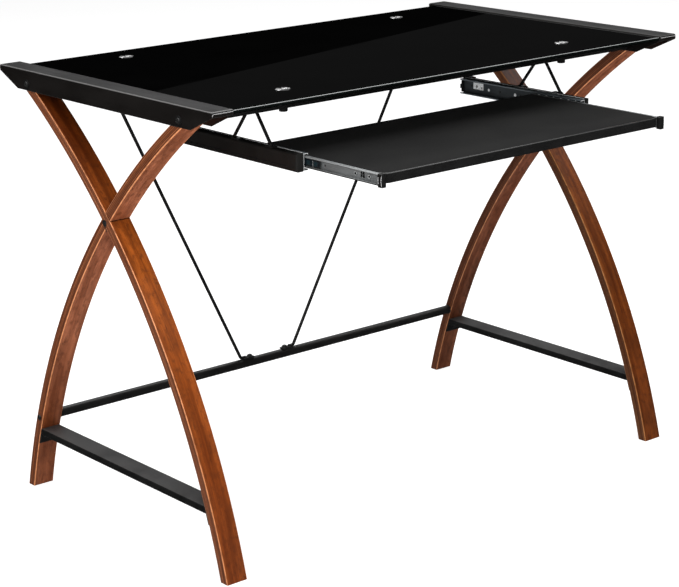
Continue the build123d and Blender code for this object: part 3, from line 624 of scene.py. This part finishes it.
# ---------------------------------------------------------------- small pieces
def rail_cap(name, s, low, high, end, out):
    """The plate that closes one end of a rail, a painted highlight along its rim and painted shade in the gap
    over it. The end is at Y end, and out is its outward direction."""
    x0, x1, top = low.x + 0.9 * MM, high.x - 0.9 * MM, high.z - 3.3 * MM
    face = end + out * 0.9 * MM
    cap = bmesh.new()
    slab(cap, (x0, end - out * 0.3 * MM, high.z - 8.6 * MM), (x1, face, top), 0.5 * MM)
    piece(f"{name}_cap", cap, RAIL, "frame")

    inner_x, outer_x = (x1, x0) if s < 0 else (x0, x1)
    corner = ((3.0, 0.0), (1.2, 0.4), (0.5, 1.6), (0.5, 3.4))  # in from the outer side, down from the top
    path = [Vector((inner_x, face, top)), Vector(((x0 + x1) / 2, face, top))]
    path += [Vector((outer_x - s * x * MM, face, top - z * MM)) for x, z in corner]
    # painted highlight: a bright pipe along the cap's top and round its outer corner
    rim = bmesh.new()
    pipe(rim, path, 0.5 * MM, 8)
    piece(f"{name}_cap_highlight", rim, HIGHLIGHT_LINE, "frame")

    # painted shade: a dark pipe in the gap between the rail's top and the cap
    gap = bmesh.new()
    line = [Vector((x0 + k * (x1 - x0) / 5, end + out * 0.1 * MM, high.z - 2.5 * MM)) for k in range(6)]
    pipe(gap, line, 0.55 * MM, 8)
    piece(f"{name}_cap_gap_shade", gap, DARK, "frame")


def rail_hardware(side, s):
    """Washers under the rail bolts, and the caps of the rail's ends."""
    low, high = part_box(f"{side}_end_rail")
    first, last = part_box(f"{side}_rail_bolts")
    outer = high.x if s > 0 else low.x
    rings = bmesh.new()
    for y in (first.y + BOLT_HEAD_R, last.y - BOLT_HEAD_R):
        washer(rings, (outer, y, (first.z + last.z) / 2), (s, 0, 0), BOLT_HEAD_R / MM + 0.1, 8.2, 0.8)
    piece(f"{side}_rail_washers", rings, DARK, "frame")
    rail_cap(f"{side}_rail_front", s, low, high, low.y, -1)
    rail_cap(f"{side}_rail_rear", s, low, high, high.y, 1)


def out_from_tray(side, s):
    """A function that turns millimetres out from the tray board's side into X."""
    low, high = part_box(f"{side}_slide_inner")
    tray_x = high.x if s < 0 else low.x
    return lambda x: tray_x + s * x * MM


# Along Y from the desk's middle, up from the slides' middle, and radius, in millimetres
PLATE_HOLES = ((10.5, 2.5, 1.9), (-2.5, 2.8, 2.3), (-15, 1.0, 1.8))
# Along Y from the desk's middle, and out from the tray board's side: the first sits on a screw's head
RIVETS = ((-101, 8.85), (-33, 9.3), (-160, 9.3))
RIVET = ((0.2, 0), (2.6, 0), (2.5, 0.3), (1.4, 0.42), (0.2, 0.36))
# One side of the painted highlight along the lip round the outer member's mouth: out from the tray board's
# side, and inwards
LIP = ((9.9, 0), (7.5, 0), (4.5, 0), (2.6, 0), (1.9, 1.0), (2.1, 1.9))
LIP_Z = 13.1
SCREW_HEAD, SCREW_STEP = 3.3 * MM, 32 * MM  # tray screws' head radius, and from the first to the second
RECESS = ((0.3, 0.02), (2.1, 0.02), (2.1, 0.1), (0.3, 0.05))
CROWN = ((2.3, 0), (3.3, 0), (3.2, 0.25), (2.4, 0.3))
# Lanced tabs: from and to, out from the tray board's side and along Y; half height; bevel
TABS = (((1.0, -399.2), (1.5, -398.7), 4.7, 0.2), ((1.1, -437), (1.9, -433), 5.4, 0.25))


def fixed_slide_parts(side, s):
    """Rear plate and rivets, painted bright as highlights, painted shade in the plate's holes, the rubber
    stop, and painted highlights along the lips of the outer member's mouth.
    """
    at = out_from_tray(side, s)
    low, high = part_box(f"{side}_slide_outer")
    mid = (low.z + high.z) / 2

    # the plate is painted bright, a painted highlight
    plate = bmesh.new()
    corner = (at(8.5), MIDDLE_Y - 19 * MM, mid - 2.5 * MM)
    slab(plate, corner, (at(9.3), MIDDLE_Y + 7 * MM, mid + 9.5 * MM), 0.3 * MM)
    piece(f"{side}_slide_plate", plate, ZINC_HIGHLIT, "frame")

    # painted shade: dark discs in the plate's holes
    holes = bmesh.new()
    for y, z, r in PLATE_HOLES:
        profile = ((0.35 * r, 0.02), (r, 0.02), (r, 0.12), (0.35 * r, 0.06))
        turned(holes, profile, (at(8.5), MIDDLE_Y + y * MM, mid + z * MM), (-s, 0, 0), 24)
    piece(f"{side}_slide_plate_hole_shade", holes, DARK, "frame")

    # the rivets are painted bright, a painted highlight
    rivets = bmesh.new()
    for y, x in RIVETS:
        turned(rivets, RIVET, (at(x), MIDDLE_Y + y * MM, mid), (-s, 0, 0), 28)
    piece(f"{side}_slide_rivets", rivets, ZINC_HIGHLIT, "frame")

    stop = bmesh.new()
    corner = (at(3.2), high.y - 3.4 * MM, mid - 10.5 * MM)
    slab(stop, corner, (at(9.0), high.y - 1.3 * MM, mid + 10.5 * MM), 0.5 * MM)
    piece(f"{side}_slide_rear_stop", stop, RUBBER, "frame")

    # painted highlights: bright bars along the lips of the outer member's mouth
    lips = bmesh.new()
    mouth = low.y - 0.1 * MM
    for t in (-1, 1):
        pipe(lips, [Vector((at(x), mouth, mid + t * (LIP_Z - down) * MM)) for x, down in LIP], 0.62 * MM)
    edge = [Vector((at(9.9), mouth, mid + z * MM)) for z in (-LIP_Z, -8, -3, 3, 8, LIP_Z)]
    pipe(lips, edge, 0.28 * MM)
    piece(f"{side}_slide_mouth_lip_highlights", lips, ZINC_HIGHLIT, "frame")


def sliding_slide_parts(side, s):
    """What rides on the inner member: screw recesses with painted shade and crowns painted bright as
    highlights, lanced tabs, and painted highlights along the end clip's edges.
    """
    at = out_from_tray(side, s)
    first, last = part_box("tray_screws")
    recess_shades, crowns = bmesh.new(), bmesh.new()
    # dark discs in the screws' recesses are painted shade; the crowns round them are painted highlights
    for y in (first.y + SCREW_HEAD, first.y + SCREW_HEAD + SCREW_STEP, last.y - SCREW_HEAD):
        turned(recess_shades, RECESS, (at(2.1), y, SLIDE_Z), (s, 0, 0), 6)
        turned(crowns, CROWN, (at(2.1), y, SLIDE_Z), (s, 0, 0), 28)
    piece(f"{side}_tray_screw_recess_shades", recess_shades, DARK, "tray")
    piece(f"{side}_tray_screw_crowns", crowns, ZINC_CROWN_HIGHLIT, "tray")

    tabs = bmesh.new()
    for (x0, y0), (x1, y1), half, bevel in TABS:
        corner = (at(x0), MIDDLE_Y + y0 * MM, SLIDE_Z - half * MM)
        slab(tabs, corner, (at(x1), MIDDLE_Y + y1 * MM, SLIDE_Z + half * MM), bevel * MM)
    piece(f"{side}_slide_lanced_tabs", tabs, ZINC, "tray")

    low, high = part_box(f"{side}_end_clip")
    face = low.x if s < 0 else high.x
    middle = (low.z + high.z) / 2
    # painted highlights: bright bowed bars along the end clip's front and rear edges
    clip_highlights = bmesh.new()
    for y, half in ((low.y + 0.3 * MM, 8.8), (high.y - 0.9 * MM, 5.2)):
        heights = [share * half for share in (-1, -0.6, -0.2, 0.2, 0.6, 1)]
        bowed = [Vector((face + s * (0.35 - 0.012 * z * z) * MM, y, middle + z * MM)) for z in heights]
        pipe(clip_highlights, bowed, 0.36 * MM)
    piece(f"{side}_end_clip_highlights", clip_highlights, ZINC_HIGHLIT, "tray")


def tray_rail_highlight(side, s):
    """A painted highlight: the light line along the upper edge of a tray rail's inner face."""
    low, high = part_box(f"{side}_tray_rail")
    x = (high.x if s < 0 else low.x) + s * 1.1 * MM
    run = (high.y - low.y - 3 * MM) / 8
    # painted highlight: a bright pipe along the edge
    highlight_pipe = bmesh.new()
    pipe(highlight_pipe, [Vector((x, low.y + 1.5 * MM + k * run, high.z + 0.15 * MM)) for k in range(9)], 0.6 * MM, 8)
    piece(f"{side}_tray_rail_highlight", highlight_pipe, HIGHLIGHT_LINE_LIGHT, "frame")


def cage_marks(side, s):
    """The bright stiffening rib and the two small windows of each ball cage."""
    low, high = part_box(f"{side}_ball_cage")
    at = out_from_tray(side, s)
    web, proud, half = 5.7, 0.25, 3.6 * MM
    mid = (low.z + high.z) / 2
    rib = bmesh.new()
    heights = (-4.6, -2, 2, 4.6)
    pipe(rib, [Vector((at(web + 0.1), low.y + 17 * MM, mid + z * MM)) for z in heights], 0.4 * MM)
    piece(f"{side}_ball_cage_rib", rib, ZINC, f"{side}_cage")
    panes = bmesh.new()
    for start in (6.0, 24.0):
        corner = (at(web), low.y + start * MM, mid - half)
        slab(panes, corner, (at(web + proud), low.y + (start + 8) * MM, mid + half), 0.1 * MM, 1)
    piece(f"{side}_ball_cage_panes", panes, PANE, f"{side}_cage")


def hanger_welds(side, s):
    """Weld beads where the bent wire meets its feet and its plate at the top."""
    wire_low, wire_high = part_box(f"{side}_wire_hanger")
    foot_z, plate_z = wire_low.z + 1.8 * MM, wire_high.z - 2.7 * MM
    bar_low, bar_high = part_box(f"{side}_hanger_bar")
    x = (bar_low.x + bar_high.x) / 2 - s * 1.0 * MM
    beads = bmesh.new()
    for y, lean in ((-202, 1), (-103, -1)):  # the feet, and the way the wire leaves each
        for step in (-3.0, 3.0):
            steps = [y + lean * k for k in (-1.5, 0.2, 2.0, 3.8, 5.5)]
            pipe(beads, [Vector((x + step * MM, MIDDLE_Y + y1 * MM, foot_z)) for y1 in steps], 0.95 * MM, 8)
    for step in (-2.6, 2.6):
        run = (-160, -157, -154, -151, -148)
        pipe(beads, [Vector((x + step * MM, MIDDLE_Y + y * MM, plate_z)) for y in run], 0.9 * MM, 8)
    piece(f"{side}_hanger_welds", beads, STEEL, "frame")


# The open joint from top to bottom: along Y from the desk's middle, height, half width
CRACK = ((3.6, 530.0, 0.9), (2.6, 527.6, 0.8), (1.4, 525.4, 0.55), (0.5, 523.2, 0.75), (0.1, 521.4, 1.0),
         (-0.9, 519.8, 0.3))
# Across it: share of the half width, and millimetres out of the leg's face
CRACK_SECTION = ((-1, -0.15), (-0.6, 0.28), (0.6, 0.28), (1, -0.15))
SEAM_Y, SEAM_Z = 12.1, 539.3  # the corners where the rear leg's pieces meet the front leg


def leg_marks(side, s):
    """Painted shade in the open joint below the cross nut, and the dark lines where the legs' pieces meet."""
    low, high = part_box(f"{side}_front_leg")
    face = low.x if s < 0 else high.x
    widen = 1.6
    # painted shade: a dark sheet over the open joint
    crack = bmesh.new()
    edges = []
    for y, z, half in CRACK:
        places = [(face + s * lift * MM, MIDDLE_Y + (y + share * widen * half) * MM, z * MM)
                  for share, lift in CRACK_SECTION]
        edges.append([crack.verts.new(place) for place in places])
    for first, second in zip(edges, edges[1:]):
        for k in range(3):
            crack.faces.new((first[k], first[k + 1], second[k + 1], second[k]))
    piece(f"{side}_crossing_gap_shade", crack, DARK, "frame")

    seams = bmesh.new()
    for y in (-SEAM_Y, SEAM_Y):
        line = []
        for k in range(13):  # it wavers a little on its way across the leg
            x = low.x + (1.2 + k * 2.95) * MM
            y_off, z_off = 0.22 * sin(k * 1.9), 0.5 * sin(k * 1.3 + 1)
            line.append(Vector((x, MIDDLE_Y + (y + y_off) * MM, (SEAM_Z + z_off) * MM)))
        pipe(seams, line, 0.85 * MM, 8)
    piece(f"{side}_crossing_seams", seams, DARK, "frame")


def stretcher_hardware():
    """Washers under the brace bolts, and the collars round the rear stretcher's ends."""
    foot_x, top_x, top_y = 42 * MM, 372 * MM, 216 * MM  # of the brace bolts, from the desk's middle
    brace_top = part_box("brace_bolts")[1].z - 8.0 * MM
    low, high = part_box("rear_stretcher")
    tube_y, tube_z = (low.y + high.y) / 2, (low.z + high.z) / 2
    rings = bmesh.new()
    for s in (-1, 1):
        washer(rings, (s * foot_x, tube_y, high.z + 2.6 * MM), (0, 0, 1), 5.1, 6.2, 0.7)
        washer(rings, (s * top_x, MIDDLE_Y + top_y, brace_top), (0, 0, -1), 4.7, 5.8, 0.7)
    piece("brace_washers", rings, BOLT, "frame")

    collars = bmesh.new()
    bore = (high.z - low.z) / 2 / MM - 0.1
    collar = ((bore, 0), (bore + 1.0, 0), (bore + 1.0, 0.6), (bore + 0.3, 0.9), (bore, 0.9))
    for side, s in SIDES:
        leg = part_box(f"{side}_rear_leg_lower")
        turned(collars, collar, (leg[0].x if s > 0 else leg[1].x, tube_y, tube_z), (-s, 0, 0))
    piece("rear_stretcher_collars", collars, STEEL, "frame")


for side, sign in SIDES:
    rail_hardware(side, sign)
    fixed_slide_parts(side, sign)
    sliding_slide_parts(side, sign)
    tray_rail_highlight(side, sign)
    cage_marks(side, sign)
    hanger_welds(side, sign)
    leg_marks(side, sign)
stretcher_hardware()


# ---------------------------------------------------------------- floor, camera, light
CAMERA_AT = Vector((-2.2265, MIDDLE_Y - 2.66175, 1.3218))
AZIMUTH, ELEVATION, ROLL = radians(-38.606), radians(17.721), radians(-1.250)
LENS, SENSOR = 107.06, 36.0
SHIFT = (0.0496, 0.0827)

# name, place, point it is aimed at, size, watts, whether reflections show it
LAMPS = (
    ("overhead", (0.3, 0.2, 3.8), (0.3, 0.2, 0.0), (6.0, 6.0), 340, True),
    ("front_fill", (-0.9, -3.9, 1.9), (0.1, 0.0, 0.6), (3.0, 1.6), 50, False),
    ("left_box", (-2.1, -1.1, 1.5), (-0.4, 0.0, 0.5), (1.2, 1.2), 16, True),
)

FLOOR_R, FLOOR_SIDES = 40.0, 48
CARD_Z, CARD_GLOW = 3.0, 0.0138
CARD_ON_GLASS = ((-0.56, -0.33), (0.56, -0.33), (0.56, 0.151), (-0.56, -0.112))  # its corners as reflected


def stage_mesh(name, corners, material, **visibility):
    """Adds one flat face that isn't part of the object. visibility says which rays see it."""
    mesh = bpy.data.meshes.new(name)
    mesh.from_pydata(corners, [], [list(range(len(corners)))])
    sheet = bpy.data.objects.new(name, mesh)
    mesh.materials.append(material)
    bpy.context.scene.collection.objects.link(sheet)
    for ray, seen in visibility.items():
        setattr(sheet, "visible_" + ray, seen)


def floor():
    """A plain pale floor, kept out of reflections."""
    look = Look("pale_floor", Roughness=0.85, Specular_IOR_Level=0.1, Emission_Strength=0.88)
    look.shader.inputs["Emission Color"].default_value = (1, 1, 1, 1)
    look.feed(Base_Color=look.mix(look.noise(look.spot(), 1.5, 3), grey(0.36), grey(0.38)))
    angles = [2 * pi * k / FLOOR_SIDES for k in range(FLOOR_SIDES)]
    rim = [(FLOOR_R * cos(angle), FLOOR_R * sin(angle), 0.0) for angle in angles]
    stage_mesh("floor", rim, look.material, glossy=False)


def glowing(name, strength):
    """A material that only gives light."""
    material = bpy.data.materials.new(name)
    material.use_nodes = True
    nodes = material.node_tree.nodes
    nodes.clear()
    out = nodes.new("ShaderNodeOutputMaterial")
    glow = nodes.new("ShaderNodeEmission")
    glow.inputs["Strength"].default_value = strength
    material.node_tree.links.new(glow.outputs[0], out.inputs[0])
    return material


def area_light(name, place, aim, size, power, reflected):
    """A rectangular lamp."""
    data = bpy.data.lights.new(name, "AREA")
    data.shape = "RECTANGLE"
    data.size, data.size_y = size
    data.energy = power
    lamp = bpy.data.objects.new(name, data)
    lamp.location = place
    lamp.rotation_euler = (Vector(aim) - Vector(place)).to_track_quat("-Z", "Y").to_euler()
    lamp.visible_glossy = reflected
    bpy.context.scene.collection.objects.link(lamp)


def camera():
    """The main camera."""
    back = Vector((sin(AZIMUTH) * cos(ELEVATION), -cos(AZIMUTH) * cos(ELEVATION), sin(ELEVATION)))
    right = Vector((cos(AZIMUTH), sin(AZIMUTH), 0.0))
    up = back.cross(right)
    right, up = cos(ROLL) * right + sin(ROLL) * up, cos(ROLL) * up - sin(ROLL) * right
    data = bpy.data.cameras.new("camera")
    data.lens, data.sensor_width = LENS, SENSOR
    data.shift_x, data.shift_y = SHIFT
    data.clip_start, data.clip_end = 0.05, 100
    shooter = bpy.data.objects.new("camera", data)
    shooter.matrix_world = Matrix.Translation(CAMERA_AT) @ Matrix((right, up, back)).transposed().to_4x4()
    bpy.context.scene.collection.objects.link(shooter)
    bpy.context.scene.camera = shooter


def world():
    """A white background that the camera sees and that lights nothing."""
    sky = bpy.data.worlds.new("studio")
    sky.use_nodes = True
    sky.node_tree.nodes["Background"].inputs["Color"].default_value = (1, 1, 1, 1)
    sky.node_tree.nodes["Background"].inputs["Strength"].default_value = 1.0
    sky.cycles_visibility.glossy = False
    sky.cycles_visibility.diffuse = False
    bpy.context.scene.world = sky
    bpy.context.scene.view_settings.view_transform = "Standard"


def reflected_card():
    """A dim card overhead, seen only as a reflection: it lightens the front part of the glass."""
    eye = CAMERA_AT.copy()
    eye.z = 2 * GLASS_HIGH.z - eye.z
    corners = []
    for x, y in CARD_ON_GLASS:
        ray = Vector((x, MIDDLE_Y + y, GLASS_HIGH.z)) - eye
        corners.append(eye + ray * ((CARD_Z - eye.z) / ray.z))
    stage_mesh("reflected_card", corners, glowing("dim_card", CARD_GLOW), camera=False, diffuse=False,
               shadow=False, transmission=False)


floor()
camera()
world()
for lamp in LAMPS:
    area_light(*lamp)
reflected_card()
